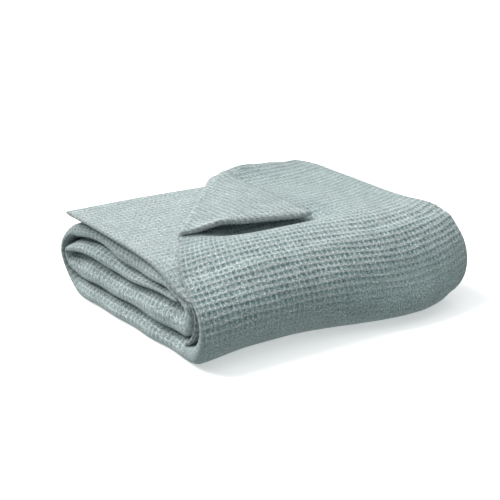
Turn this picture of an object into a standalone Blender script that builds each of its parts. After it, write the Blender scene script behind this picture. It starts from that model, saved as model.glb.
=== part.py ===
"""A waffle weave cotton blanket, folded into a soft bundle with one corner turned back.

The blanket is folded lengthwise into a long strip, and the strip is rolled up flat: its inner end lies in
the middle, and each turn wraps the one before.  The outer end lies on top as two loose plies.  The upper
ply's back left corner is turned over, which shows the lower ply's corner under it.

Each ply is drawn flat first, as a grid with a thickness, and a function then carries every point of it to
its folded place.

Frame: X runs along the rolls, from the left end to the right, Y from front to back, Z up.  The origin lies
on the floor, under the middle of the bundle.  The tables and the folded section are in millimetres.
"""

import math
from collections import namedtuple

import bmesh
import bpy
from mathutils import Vector

MM = 0.001

# Driving sizes, in millimetres.
WIDTH = 457  # the strip's own width, along the rolls
GAP = 1.2  # air between two layers that lie on each other
LOWER_PLY = 5.5
UPPER_PLY = 6.5
SIDE_ROUND = 11  # the most that a layer's side fold is rounded
EDGE_SHARE = 0.26  # part of the thickness that is left at a rounded edge
MIDDLE_X = 225.9  # the origin, from the left end
MIDDLE_Y = 178.1  # the origin, from the tables' zero near the front

# Where one layer lies on the next, as heights at a few distances from the front.
Lines = namedtuple("Lines", "front floor a_top b_top c_top d_top e_low")
LINES = [
    Lines(55, 0, 28.5, 74.0, 80.1, 87.0, 87.6),
    Lines(85, 0, 28.0, 72.0, 85.5, 101.0, 101.8),
    Lines(120, 0, 29.0, 69.5, 83.0, 108.5, 109.3),
    Lines(160, 0, 30.0, 66.0, 82.0, 112.0, 112.9),
    Lines(200, 0, 29.0, 62.0, 84.5, 113.8, 115.0),
    Lines(240, 0, 26.5, 63.0, 90.5, 115.5, 116.8),
    Lines(280, 0, 28.0, 67.0, 94.0, 116.0, 118.0),
    Lines(325, 0, 26.5, 65.5, 86.5, 110.0, 118.0),
    Lines(351, 0, 31.0, 59.0, 75.0, 100.0, 119.0),
    Lines(375, 0, 34.0, 54.0, 66.0, 92.0, 117.0),
]

# A turn joins two layers round a centre.  Its radii are given below the centre's side, at its side and
# above it.  Straight under and over the centre they come from the layers that the turn joins.
Turn = namedtuple("Turn", "front height side inner outer")
EYE = Turn(351, 59, 1, (2.0, 4.0, 2.0), (16.5, 11.8, 14.5))
RIM = Turn(55, 74.5, -1, (3.0, 6.0, 6.0), (36.0, 27.0, 13.5))
WALL = Turn(325, 60, 1, (39.5, 40.5, 32.5), (48.0, 49.0, 44.0))
NOSE = Turn(55, 60, -1, (42.4, 49.5, 35.4), (62.5, 58.0, 41.2))
HANG = Turn(55, 74.5, -1, (37.6, 28.2, 14.0), (43.1, 33.7, 19.4))

# Where the plies end, as distances from the front.
INNER_END = 58
ROOT_END = 85
UPPER_END = 347
LOWER_END = 341

# The side edges of the two loose plies, as distances from the bundle's left and right ends.
NOSE_OUT = 5  # the upper ply's left edge stands out by this much at the front,
STEP_IN = 57  # lies this far in where its turned corner starts,
CORNER_IN = 23  # and this far in at the corner itself
UPPER_SHORT = 10  # it stops this far short of the right end
LOWER_OUT = -6  # the lower ply's left edge on top
TUCK_IN = 16  # and where it passes behind the upper one
BACK_SKEW = 23  # the upper ply's back edge lies this much further back at its right end

# The turned corner.
FOLD_SIDE = 209  # its edge along the upper ply's left edge
FOLD_BACK = 232  # and along the back edge
FOLD_BOW = 3  # the middle of the fold lies this much further from the corner than its ends
FOLD_RADIUS = 4.6  # of the ply's middle round the fold, at the ply's left edge
PRESSED = 0.13  # at the back the fold is pressed flatter by this share
FLAP_LIFT = 6.5  # the flap lifts off beside the fold by this much,
LIFT_REACH = 28  # within this distance,
FLAP_SINK = 0.055  # and sinks again by this share of the distance from the fold
BACK_PUFF = 6  # the ply is this much thicker at its back edge,
PUFF_REACH = 80  # measured from that edge,
PUFF_START = 60  # and from the fold
FOLD_CUTS = 6

# The bundle's soft shape.
SHOULDER_RISE = 15  # the front shoulder rises this much away from the left end,
SHOULDER_RIGHT = 10  # and this much more towards the right
SHOULDER_FRONT = 45  # where it is highest
SHOULDER_REACH = 60
SWELL = 1.2  # low waves over the whole top
FOOT_OUT = 24  # the front's foot bulges this much further forward on the right
FOOT_TOP = 75
CORNER_BACK = 16  # the front's right corner falls back by this much
END_ROUND = 42  # the right end is rounded: its top and its foot lie this much further in
END_FOOT = 1.2  # times that at the floor
END_REACH = 140  # measured from the end
END_MIDDLE = 94  # the height where it reaches furthest
TOP = 131

# How finely the cloth is divided.
ANGLES = (-90, -45, 0, 45, 90)
TURN_STEPS = 10
LAYER_STEP = 24  # between two stations along a layer
SIDE_ANGLES = (0, 25, 50, 75, 90)  # round a layer's side fold
MIDDLE_COLUMNS = 9
END_SHARES = (0.15, 0.6)

SAGE = (0.42, 0.5, 0.485, 1)


def smooth(places, values, place):
    """The value at a place, on a smooth curve through a short table."""
    last = len(places) - 2
    row = next((i for i in range(last) if place < places[i + 1]), last)

    def slope(i):
        low, high = max(i - 1, 0), min(i + 1, last + 1)
        return (values[high] - values[low]) / (places[high] - places[low])

    step = places[row + 1] - places[row]
    t = (place - places[row]) / step
    ends = (2 * t**3 - 3 * t**2 + 1) * values[row] + (3 * t**2 - 2 * t**3) * values[row + 1]
    bends = (t**3 - 2 * t**2 + t) * slope(row) + (t**3 - t**2) * slope(row + 1)
    return ends + step * bends


def ease(value, start, end):
    """0 before start, 1 after end, and a smooth rise between them."""
    t = min(max((value - start) / (end - start), 0), 1)
    return t * t * (3 - 2 * t)


def line(name, front):
    return smooth([row.front for row in LINES], [getattr(row, name) for row in LINES], front)


# A layer gives its lower and its upper height at a distance from the front.
def layer_a(front):
    return 0, line("a_top", front) - GAP / 2


def layer_b(front):
    return line("a_top", front) + GAP / 2, line("b_top", front) - GAP / 2


def layer_c(front):
    return line("b_top", front) + GAP / 2, line("c_top", front) - GAP / 2


def layer_d(front):
    return line("c_top", front) + GAP / 2, line("d_top", front) - GAP / 2


def lower_root(front):
    """The lower ply's root, sunk in the bottom layer that it is part of."""
    top = line("a_top", front) - 4
    return top - LOWER_PLY, top


def lower_top(front):
    low = line("e_low", front)
    return low, low + LOWER_PLY


def upper_top(front):
    low = line("e_low", front) + LOWER_PLY + GAP
    return low, low + UPPER_PLY


def along(layer, start, end, outer_up):
    """Stations of a layer: pairs of its inner and its outer point."""
    steps = max(1, round(abs(end - start) / LAYER_STEP))
    pairs = []
    for i in range(steps + 1):
        front = start + (end - start) * i / steps
        low, high = layer(front)
        ends = ((front, low), (front, high))
        pairs.append(ends if outer_up else ends[::-1])
    return pairs


def round_turn(turn, below, above, rising):
    """Stations round a turn that joins the layer below its centre to the one above."""
    low, high = below(turn.front), above(turn.front)
    inner = (turn.height - low[1], *turn.inner, high[0] - turn.height)
    outer = (turn.height - low[0], *turn.outer, high[1] - turn.height)
    pairs = []
    for i in range(1, TURN_STEPS):
        angle = 180 * i / TURN_STEPS - 90
        across = turn.side * math.cos(math.radians(angle))
        up = math.sin(math.radians(angle))
        radii = (smooth(ANGLES, inner, angle), smooth(ANGLES, outer, angle))
        pairs.append(tuple((turn.front + r * across, turn.height + r * up) for r in radii))
    return pairs if rising else pairs[::-1]


class Route:
    """A ply's way through the bundle: inner and outer points against the length of cloth used."""

    def __init__(self, **pieces):
        pairs = [pair for piece in pieces.values() for pair in piece]
        self.inner = [Vector(pair[0]) for pair in pairs]
        self.outer = [Vector(pair[1]) for pair in pairs]
        middles = [(a + b) / 2 for a, b in zip(self.inner, self.outer)]
        self.lengths = [0.0]
        for here, there in zip(middles, middles[1:]):
            self.lengths.append(self.lengths[-1] + (there - here).length)
        self.end = self.lengths[-1]
        self.starts, row = {}, 0
        for name, piece in pieces.items():
            self.starts[name] = self.lengths[row]
            row += len(piece)

    def ends(self, length):
        """The section's inner and outer point at a length."""
        last = len(self.lengths) - 2
        row = next((i for i in range(last) if length < self.lengths[i + 1]), last)
        t = (length - self.lengths[row]) / (self.lengths[row + 1] - self.lengths[row])
        return self.inner[row].lerp(self.inner[row + 1], t), self.outer[row].lerp(self.outer[row + 1], t)

    def thickness(self, length):
        inner, outer = self.ends(length)
        return (outer - inner).length

    def point(self, length, height):
        """The section's point at a height over the inner side."""
        inner, outer = self.ends(length)
        return inner + (outer - inner).normalized() * height


roll = Route(
    c=along(layer_c, INNER_END, EYE.front, True),
    eye=round_turn(EYE, layer_b, layer_c, False),
    b=along(layer_b, EYE.front, RIM.front, False),
    rim=round_turn(RIM, layer_b, layer_d, True),
    d=along(layer_d, RIM.front, WALL.front, True),
    wall=round_turn(WALL, layer_a, layer_d, False),
    a=along(layer_a, WALL.front, NOSE.front, False),
    nose=round_turn(NOSE, layer_a, upper_top, True),
    top=along(upper_top, NOSE.front, UPPER_END, True),
)
lower = Route(
    root=along(lower_root, ROOT_END, HANG.front, False),
    hang=round_turn(HANG, lower_root, lower_top, True),
    top=along(lower_top, HANG.front, LOWER_END, True),
)


# The two plies' side edges, as distances from the bundle's left end.
def roll_left(length):
    """The rolls end a little unevenly, and the upper ply's edge steps in over the front."""
    uneven = 1.6 * math.sin(length / 61) + 1.0 * math.sin(length / 23)
    nose, fold = roll.starts["nose"], roll.end - FOLD_SIDE
    up_to_fold = min(max((length - nose) / (fold - nose), 0), 1)
    over_front = (STEP_IN + NOSE_OUT) * up_to_fold**3.5 - NOSE_OUT * ease(length, nose, nose + 50)
    back_out = (STEP_IN - CORNER_IN) * max(length - fold, 0) / FOLD_SIDE
    return uneven * (1 - ease(length, nose, roll.starts["top"])) + over_front - back_out


def roll_right(length):
    uneven = 1.8 * math.sin(length / 71 + 2)
    return WIDTH + uneven - UPPER_SHORT * ease(length, roll.starts["nose"], roll.starts["top"])


def lower_left(length):
    """The lower ply hangs over the left end on top, and passes behind the upper one at the front."""
    return TUCK_IN - (TUCK_IN - LOWER_OUT) * ease(length, lower.starts["hang"] + 45, lower.starts["top"] + 30)


def lower_right(length):
    return WIDTH - 9


Ply = namedtuple("Ply", "route left right")
ROLL = Ply(roll, roll_left, roll_right)
LOWER = Ply(lower, lower_left, lower_right)


def rounded(from_edge, depth):
    """The share of the thickness that is left near a rounded edge."""
    reach = min(max(from_edge / depth, 0), 1)
    return EDGE_SHARE + (1 - EDGE_SHARE) * math.sqrt(1 - (1 - reach) ** 2)


def skewed(length, across):
    """The upper ply's back edge runs askew, so its top part is longer on the right."""
    start = roll.starts["top"]
    return length + BACK_SKEW * (across / WIDTH) * max(length - start, 0) / (roll.end - start)


# The corner is turned over along a line between two points of the ply's edges.
corner = Vector((roll_left(roll.end), skewed(roll.end, 0)))
fold_side = Vector((roll_left(roll.end - FOLD_SIDE), roll.end - FOLD_SIDE))
fold_back = Vector((corner.x + FOLD_BACK, skewed(roll.end, corner.x + FOLD_BACK)))
fold_length = (fold_back - fold_side).length
fold_line = (fold_back - fold_side) / fold_length
to_corner = Vector((-fold_line.y, fold_line.x))
BEND = math.pi * FOLD_RADIUS


def back_puff(length, from_fold):
    """How much thicker the upper ply is near its back edge."""
    return BACK_PUFF * ease(length, roll.end - PUFF_REACH, roll.end) * ease(from_fold, 0, PUFF_START)


def turn_corner(across, length, height):
    """Carries a point of the upper ply over the fold, if it lies past it."""
    if length < roll.starts["top"]:
        return across, length, height
    flat = Vector((across, length))
    share = min(max((flat - fold_side).dot(fold_line) / fold_length, 0), 1)
    past = (flat - fold_side).dot(to_corner) + FOLD_BOW * 4 * share * (1 - share)
    if past <= 0:
        return across, length, height * (1 + back_puff(length, -past) / UPPER_PLY)
    radius = FOLD_RADIUS * (1 - PRESSED * ease(share, 0, 1))
    angle = min(past / radius, math.pi)
    beyond = max(past - math.pi * radius, 0)
    offset = height - UPPER_PLY / 2
    reach = (radius - offset) * math.sin(angle) - beyond
    lift = (FLAP_LIFT * ease(beyond, 0, LIFT_REACH) - FLAP_SINK * beyond) * (1 - ease(share, 0.45, 1))
    rise = radius * (1 - math.cos(angle)) + offset * math.cos(angle) + lift
    moved = flat + to_corner * (reach - past)
    return moved.x, moved.y, UPPER_PLY / 2 + rise + back_puff(moved.y, beyond)


def settle(across, front, up):
    """The bundle's soft shape: a full front shoulder, a foot that bulges forward and a rounded right end."""
    rise = SHOULDER_RISE * ease(across, 10, 130) + SHOULDER_RIGHT * ease(across, 150, 380)
    shoulder = rise * math.exp(-(((front - SHOULDER_FRONT) / SHOULDER_REACH) ** 2))
    swell = SWELL * math.sin(across / 47 + front / 61)
    foot = FOOT_OUT * ease(across, 40, 420) * (1 - ease(up, 15, FOOT_TOP))
    corner_back = CORNER_BACK * ease(across, WIDTH - 60, WIDTH + 10)
    over, under = max(up / END_MIDDLE - 1, 0), max(1 - up / END_MIDDLE, 0)
    off_middle = (over * END_MIDDLE / (TOP - END_MIDDLE)) ** 1.6 + END_FOOT * under**1.6
    across -= END_ROUND * off_middle * ease(across, WIDTH - END_REACH, WIDTH)
    front += (corner_back - foot) * (1 - ease(front, 0, 120))
    up += (shoulder + swell) * ease(up, 40, 110)
    return Vector((across - MIDDLE_X, front - MIDDLE_Y, up)) * MM


def fold(ply, across, length, share):
    """Carries a point of a flat ply to its folded place.  share runs from its inner to its outer side."""
    route = ply.route
    thickness = route.thickness(length)
    depth = min(thickness / 2, SIDE_ROUND)
    left = rounded(across - ply.left(length), depth)
    right = rounded(ply.right(length) - across, depth)
    ends = rounded(length, depth) * rounded(route.end - length, depth)
    height = thickness * (0.5 + (share - 0.5) * left * right * ends)
    if ply is ROLL:
        across, length, height = turn_corner(across, skewed(length, across), height)
    front, up = route.point(length, height)
    return settle(across, front, up)


def columns(ply, length):
    """Places across a ply: close together round its side folds, and even between them."""
    depth = min(ply.route.thickness(length) / 2, SIDE_ROUND)
    insets = [depth * (1 - math.cos(math.radians(angle))) for angle in SIDE_ANGLES]
    left, right = ply.left(length), ply.right(length)
    inside = right - left - 2 * depth
    middle = [left + depth + inside * i / MIDDLE_COLUMNS for i in range(1, MIDDLE_COLUMNS)]
    return [left + inset for inset in insets] + middle + [right - inset for inset in reversed(insets)]


def rows(route):
    """The route's stations, with more of them where its two ends are rounded."""
    first, last = route.thickness(0) / 2, route.thickness(route.end) / 2
    extra = [share * first for share in END_SHARES] + [route.end - share * last for share in END_SHARES]
    return sorted(route.lengths + extra)


def flat_ply(ply):
    """A ply drawn flat as a grid: X across it, Y along it, and Z its share of the thickness."""
    lengths = rows(ply.route)
    across_count = len(columns(ply, 0)) - 1
    bm = bmesh.new()
    bmesh.ops.create_grid(bm, x_segments=across_count, y_segments=len(lengths) - 1, size=0.5)
    for vert in bm.verts:
        row = round((vert.co.y + 0.5) * (len(lengths) - 1))
        column = round((vert.co.x + 0.5) * across_count)
        vert.co = (columns(ply, lengths[row])[column], lengths[row], 0)
    return bm


def cut_fold_lines(bm):
    """Cuts the flat upper ply along the lines where its corner bends, and where the flap lifts off."""
    bend = [(BEND + FOLD_BOW) * i / FOLD_CUTS - FOLD_BOW for i in range(FOLD_CUTS + 1)]
    for past in [-PUFF_START / 2] + bend + [BEND + LIFT_REACH / 2, BEND + LIFT_REACH]:
        on_line = fold_side + to_corner * past
        faces = [face for face in bm.faces if face.calc_center_median().y > roll.starts["top"]]
        edges = {edge for face in faces for edge in face.edges}
        verts = {vert for face in faces for vert in face.verts}
        bmesh.ops.bisect_plane(
            bm,
            geom=faces + list(edges) + list(verts),
            plane_co=on_line.to_3d(),
            plane_no=to_corner.to_3d(),
            dist=0.05,
        )


def folded_ply(name, ply, cut=None):
    """Gives a flat ply its thickness, and folds it."""
    bm = flat_ply(ply)
    if cut:
        cut(bm)
    upper = bmesh.ops.extrude_face_region(bm, geom=list(bm.faces))
    for item in upper["geom"]:
        if isinstance(item, bmesh.types.BMVert):
            item.co.z = 1
    for vert in bm.verts:
        vert.co = fold(ply, *vert.co)
    bmesh.ops.recalc_face_normals(bm, faces=list(bm.faces))
    mesh = bpy.data.meshes.new(name)
    bm.to_mesh(mesh)
    bm.free()
    mesh.shade_smooth()
    return bpy.data.objects.new(name, mesh)


def waffle_cotton():
    material = bpy.data.materials.new("waffle_cotton")
    material.use_nodes = True
    shader = material.node_tree.nodes["Principled BSDF"]
    shader.inputs["Base Color"].default_value = SAGE
    shader.inputs["Roughness"].default_value = 0.95
    shader.inputs["Metallic"].default_value = 0.0
    return material


def collection(name):
    made = bpy.data.collections.new(name)
    bpy.context.scene.collection.children.link(made)
    return made


def main():
    for obj in list(bpy.data.objects):
        bpy.data.objects.remove(obj)
    blanket = folded_ply("folded_blanket", ROLL, cut_fold_lines)
    blanket.data.materials.append(waffle_cotton())
    collection("waffle_blanket").objects.link(blanket)

    lower_ply = folded_ply("lower_ply", LOWER)
    lower_ply.hide_render = True
    lower_ply.display_type = "WIRE"
    collection("joined_plies").objects.link(lower_ply)

    join = blanket.modifiers.new("join lower ply", "BOOLEAN")
    join.operation = "UNION"
    join.solver = "EXACT"
    join.object = lower_ply


main()
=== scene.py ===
# %% [markdown]
# # A folded waffle weave blanket
# The real thing is one large cotton cloth with a deep square weave.  It is folded lengthwise into a long
# strip, the strip is rolled up flat, and the loose end on top has one corner turned back.
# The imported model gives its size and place.  This lesson replaces that plain solid with cloth that has the
# weave in its surface, sheet by sheet, and then lights it softly.

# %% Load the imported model
import math
from collections import namedtuple

import bmesh
import bpy
import numpy as np
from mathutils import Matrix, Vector


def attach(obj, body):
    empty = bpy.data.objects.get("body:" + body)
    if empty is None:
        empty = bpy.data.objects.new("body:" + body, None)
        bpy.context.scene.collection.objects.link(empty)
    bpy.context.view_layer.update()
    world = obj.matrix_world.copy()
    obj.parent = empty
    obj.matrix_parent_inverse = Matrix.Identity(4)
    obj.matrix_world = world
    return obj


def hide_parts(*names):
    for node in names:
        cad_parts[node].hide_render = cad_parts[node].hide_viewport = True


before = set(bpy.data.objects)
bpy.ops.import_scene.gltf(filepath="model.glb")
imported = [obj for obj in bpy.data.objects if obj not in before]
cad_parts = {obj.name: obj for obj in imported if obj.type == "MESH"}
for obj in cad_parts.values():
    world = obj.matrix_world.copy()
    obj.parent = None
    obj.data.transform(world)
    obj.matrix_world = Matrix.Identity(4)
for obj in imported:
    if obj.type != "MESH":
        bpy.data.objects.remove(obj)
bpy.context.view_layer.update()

print("packed nodes:", sorted(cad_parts))

# %% [markdown]
# ## The camera
# A product picture of folded bedding is taken with a long lens, a little above the bundle, so that both the
# layers at its end and the weave on its front show.  A long lens keeps the far edges nearly parallel.

# %% Camera
CAMERA_AT = (-0.8999, -1.2361, 0.575)
VIEW_ANGLE = (71.6, 0.0, -35.0)  # degrees
SENSOR = 36  # mm wide
LENS = 82.8  # mm

camera_data = bpy.data.cameras.new("camera")
camera_data.sensor_width = SENSOR
camera_data.lens = LENS
camera = bpy.data.objects.new("camera", camera_data)
camera.location = CAMERA_AT
camera.rotation_euler = [math.radians(angle) for angle in VIEW_ANGLE]
bpy.context.scene.collection.objects.link(camera)
bpy.context.scene.camera = camera
print("camera", round(camera.location.length, 2), "m from the bundle")

# %% [markdown]
# ## Smooth curves from short tables
# Cloth has no straight lines, so every shape below is read from a smooth curve through a few sizes, or is a
# sum of smooth rises and of slow waves.  The functions take whole arrays, because the weave needs many
# thousands of points.

# %% Curves
MM = 0.001


def smooth(places, values, at):
    """Values on a smooth curve through a short table."""
    places, values, at = (np.asarray(item, float) for item in (places, values, at))
    slopes = np.gradient(values, places)
    slopes[1:-1] = (values[2:] - values[:-2]) / (places[2:] - places[:-2])
    row = np.clip(np.searchsorted(places, at, side="right") - 1, 0, len(places) - 2)
    step = places[row + 1] - places[row]
    t = (at - places[row]) / step
    ends = (2 * t**3 - 3 * t**2 + 1) * values[row] + (3 * t**2 - 2 * t**3) * values[row + 1]
    return ends + step * ((t**3 - 2 * t**2 + t) * slopes[row] + (t**3 - t**2) * slopes[row + 1])


def ease(value, start, end):
    """0 before start, 1 after end, and a smooth rise between them."""
    t = np.clip((value - start) / (end - start), 0, 1)
    return t * t * (3 - 2 * t)


def hump(offset, wide):
    """1 where the offset is 0, falling softly to both sides."""
    return np.exp(-((offset / wide) ** 2))


Rise = namedtuple("Rise", "much start end")
Wave = namedtuple("Wave", "high long shift")


def rises(value, *steps):
    """A sum of smooth rises, or falls where much is negative."""
    return sum(step.much * ease(value, step.start, step.end) for step in steps)


def waves(length, *parts):
    return sum(part.high * np.sin(length / part.long + part.shift) for part in parts)


print("halfway up a smooth rise:", ease(0.5, 0, 1))

# %% [markdown]
# ## The folded section
# Seen from its end, the bundle is a flat spiral.  The strip starts in the middle, turns at the back, comes
# forward, turns round the front rim, runs back over the top, goes down the back wall, forward along the
# floor, up the front and over the top again.  A table gives the heights at which one layer lies on the
# next, at a few distances from the front, in millimetres.  The turns are round, with their own radii.
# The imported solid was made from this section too, with a slightly slimmer back wall, so the cloth lies
# where the solid is.

# %% The layers and the turns
GAP = 1.2  # air between two layers
LOWER_PLY = 5.5
UPPER_PLY = 6.5
ROOT_UNDER = 4  # how far the lower ply's root lies inside the bottom layer
Lines = namedtuple("Lines", "front floor a_top b_top c_top d_top e_low")
LINES = [
    Lines(55, 0, 28.5, 74.0, 80.1, 87.0, 87.6),
    Lines(85, 0, 28.0, 72.0, 85.5, 101.0, 101.8),
    Lines(120, 0, 29.0, 69.5, 83.0, 108.5, 109.3),
    Lines(160, 0, 30.0, 66.0, 82.0, 112.0, 112.9),
    Lines(200, 0, 29.0, 62.0, 84.5, 113.8, 115.0),
    Lines(240, 0, 26.5, 63.0, 90.5, 115.5, 116.8),
    Lines(280, 0, 28.0, 67.0, 94.0, 116.0, 118.0),
    Lines(325, 0, 26.5, 65.5, 86.5, 110.0, 118.0),
    Lines(351, 0, 31.0, 59.0, 75.0, 100.0, 119.0),
    Lines(375, 0, 34.0, 54.0, 66.0, 92.0, 117.0),
]
ANGLES = (-90, -45, 0, 45, 90)
Turn = namedtuple("Turn", "front height side inner outer")
EYE = Turn(351, 59, 1, (2.0, 4.0, 2.0), (16.5, 11.8, 14.5))
RIM = Turn(55, 74.5, -1, (3.0, 6.0, 6.0), (36.0, 27.0, 13.5))
WALL = Turn(325, 60, 1, (41.0, 40.5, 32.5), (52.5, 49.5, 44.0))
NOSE = Turn(55, 60, -1, (42.4, 49.5, 35.4), (62.5, 58.0, 41.2))
HANG = Turn(55, 74.5, -1, (37.6, 28.2, 14.0), (43.1, 33.7, 19.4))
INNER_END = 58
ROOT_END = 85
UPPER_END = 347
LOWER_END = 341


def line(name, front):
    return smooth([row.front for row in LINES], [getattr(row, name) for row in LINES], front)


def layer(low, high, front):
    """A thick layer's lower and upper height, between two lines of the table."""
    below = line(low, front) + (GAP / 2 if low != "floor" else 0)
    return below, line(high, front) - GAP / 2


def layer_a(front):
    return layer("floor", "a_top", front)


def layer_b(front):
    return layer("a_top", "b_top", front)


def layer_c(front):
    return layer("b_top", "c_top", front)


def layer_d(front):
    return layer("c_top", "d_top", front)


def lower_root(front):
    top = line("a_top", front) - ROOT_UNDER
    return top - LOWER_PLY, top


def lower_top(front):
    low = line("e_low", front)
    return low, low + LOWER_PLY


def upper_top(front):
    low = line("e_low", front) + LOWER_PLY + GAP
    return low, low + UPPER_PLY


print("layers at the middle:", [float(np.round(layer_b(200)[i])) for i in (0, 1)], "mm")

# %% [markdown]
# ## A route through the section
# A strip is easiest to handle as a route: for each length of cloth used, where its inner and its outer side
# lie.  Straight runs and turns are sampled finely and joined end to end.

# %% Routes
RUN_STEP = 4
TURN_STEPS = 24


def along(layer_at, start, end, outer_up):
    """Stations of a run: the inner and the outer points."""
    count = max(1, round(abs(end - start) / RUN_STEP)) + 1
    front = np.linspace(start, end, count)
    low, high = (np.broadcast_to(side, front.shape) for side in layer_at(front))
    pair = (np.stack([front, low], 1), np.stack([front, high], 1))
    return pair if outer_up else pair[::-1]


def round_turn(turn, below, above, rising):
    """Stations round a turn that joins the run below its centre to the one above."""
    low, high = below(turn.front), above(turn.front)
    inner = (turn.height - low[1], *turn.inner, high[0] - turn.height)
    outer = (turn.height - low[0], *turn.outer, high[1] - turn.height)
    angle = np.linspace(-90, 90, TURN_STEPS + 1)[1:-1]
    if not rising:
        angle = angle[::-1]
    way = np.stack([turn.side * np.cos(np.radians(angle)), np.sin(np.radians(angle))], 1)
    centre = np.array([turn.front, turn.height])
    return tuple(centre + smooth(ANGLES, radii, angle)[:, None] * way for radii in (inner, outer))


class Route:
    """A strip's way through the section, against the length of cloth used."""

    def __init__(self, **runs):
        self.inner = np.concatenate([run[0] for run in runs.values()])
        self.outer = np.concatenate([run[1] for run in runs.values()])
        middles = (self.inner + self.outer) / 2
        steps = np.linalg.norm(np.diff(middles, axis=0), axis=1)
        self.lengths = np.concatenate([[0], np.cumsum(steps)])
        self.end = self.lengths[-1]
        counts = np.cumsum([0] + [len(run[0]) for run in runs.values()])
        self.starts = {name: self.lengths[count] for name, count in zip(runs, counts)}

    def sides(self, length):
        """The inner and the outer point at each length."""
        return tuple(
            np.stack([np.interp(length, self.lengths, side[:, i]) for i in (0, 1)], -1)
            for side in (self.inner, self.outer)
        )

    def thickness(self, length):
        inner, outer = self.sides(length)
        return np.linalg.norm(outer - inner, axis=-1)

    def point(self, length, height):
        """Front distance and height of a point, at a height over the inner side."""
        inner, outer = self.sides(length)
        up = (outer - inner) / np.linalg.norm(outer - inner, axis=-1, keepdims=True)
        return (inner + up * np.asarray(height)[..., None]).T


roll = Route(
    c=along(layer_c, INNER_END, EYE.front, True),
    eye=round_turn(EYE, layer_b, layer_c, False),
    b=along(layer_b, EYE.front, RIM.front, False),
    rim=round_turn(RIM, layer_b, layer_d, True),
    d=along(layer_d, RIM.front, WALL.front, True),
    wall=round_turn(WALL, layer_a, layer_d, False),
    a=along(layer_a, WALL.front, NOSE.front, False),
    nose=round_turn(NOSE, layer_a, upper_top, True),
    top=along(upper_top, NOSE.front, UPPER_END, True),
)
lower = Route(
    root=along(lower_root, ROOT_END, HANG.front, False),
    hang=round_turn(HANG, lower_root, lower_top, True),
    top=along(lower_top, HANG.front, LOWER_END, True),
)
print("the rolled strip is", round(roll.end), "mm long, and the lower ply", round(lower.end), "mm")

# %% [markdown]
# ## The strip's edges
# A folded strip never ends quite even.  Its left edge wavers a little, and the last stretch steps in over
# the front, where the upper ply was pulled back to turn its corner.  Both top plies are rounded off at the
# back right corner, where no fold holds them square.

# %% Edges
WIDTH = 457
STEP_IN = 57  # how far the upper ply steps in, up to its turned corner
STEP_CURVE = 3.5  # how late on its way up the front the ply steps in
CORNER_IN = 23
NOSE_OUT = 5  # how far the ply first stands out at the foot of the front
NOSE_OUT_BY = 50
UPPER_SHORT = 10
CORNER_OFF = 34
CORNER_ROUND = 42
LOWER_OUT = -6
LOWER_SHORT = 9
TUCK_IN = 1
TUCKED_TO = 45
OUT_BY = 30
BACK_SKEW = 23  # how much further back the ply reaches at its right edge
SKEWED_AT_CORNER = 0.9
FOLD_SIDE = 209
FOLD_BACK = 232
LEFT_WAVES = (Wave(1.6, 61, 0), Wave(1.0, 23, 0))
RIGHT_WAVE = Wave(1.8, 71, 2)


def roll_left(length):
    nose, fold = roll.starts["nose"], roll.end - FOLD_SIDE
    uneven = waves(length, *LEFT_WAVES) * (1 - ease(length, nose, roll.starts["top"]))
    up_to_fold = np.clip((length - nose) / (fold - nose), 0, 1)
    over_front = (STEP_IN + NOSE_OUT) * up_to_fold**STEP_CURVE
    nose_out = NOSE_OUT * ease(length, nose, nose + NOSE_OUT_BY)
    back_out = (STEP_IN - CORNER_IN) * np.maximum(length - fold, 0) / FOLD_SIDE
    return uneven + over_front - nose_out - back_out


def corner_off(length, back):
    """How far a ply's right edge is rounded in, up to a length where its back edge lies."""
    rounding = np.clip((length - back) / CORNER_ROUND + 1, 0, 1)
    return CORNER_OFF * (1 - np.sqrt(1 - rounding**2))


def roll_right(length):
    short = UPPER_SHORT * ease(length, roll.starts["nose"], roll.starts["top"])
    back = roll.end - SKEWED_AT_CORNER * BACK_SKEW
    return WIDTH + waves(length, RIGHT_WAVE) - short - corner_off(length, back)


def lower_left(length):
    over = ease(length, lower.starts["hang"] + TUCKED_TO, lower.starts["top"] + OUT_BY)
    return TUCK_IN + (LOWER_OUT - TUCK_IN) * over


def lower_right(length):
    return WIDTH - LOWER_SHORT - corner_off(length, lower.end)


Strip = namedtuple("Strip", "route left right")
ROLL = Strip(roll, roll_left, roll_right)
LOWER = Strip(lower, lower_left, lower_right)
step_in = float(roll_left(roll.end - FOLD_SIDE))
print("the upper ply's edge lies", round(step_in), "mm in at its fold")

# %% [markdown]
# ## The line of the turned corner
# Turning a corner over bends the cloth round a line.  Soft cloth never folds quite straight, so the line is
# bowed a little, and hooks round where it meets the ply's back edge.  The line is found on the flat ply,
# because there every distance is easy to measure.

# %% The fold's line
FOLD_BOW = 3
FOLD_HOOK = 9
HOOK_FROM = 0.82  # share of the fold
NOT_TURNED = -1000.0  # for all cloth that isn't on top


def skewed(length, across):
    """The length of cloth used, with the back edge of the ply turned to its slant."""
    start = roll.starts["top"]
    on_top = np.maximum(length - start, 0) / (roll.end - start)
    return length + BACK_SKEW * (across / WIDTH) * on_top


corner = np.array([roll_left(roll.end), skewed(roll.end, 0)])
fold_side = np.array([roll_left(roll.end - FOLD_SIDE), roll.end - FOLD_SIDE])
fold_back = np.array([corner[0] + FOLD_BACK, skewed(roll.end, corner[0] + FOLD_BACK)])
fold_length = np.linalg.norm(fold_back - fold_side)
fold_line = (fold_back - fold_side) / fold_length
to_corner = np.array([-fold_line[1], fold_line[0]])


def along_fold(across, length):
    """How far along the fold a point lies, from 0 at the ply's side to 1 at its back."""
    flat = np.stack([across, length], -1) - fold_side
    return np.clip(flat @ fold_line / fold_length, 0, 1)


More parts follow.
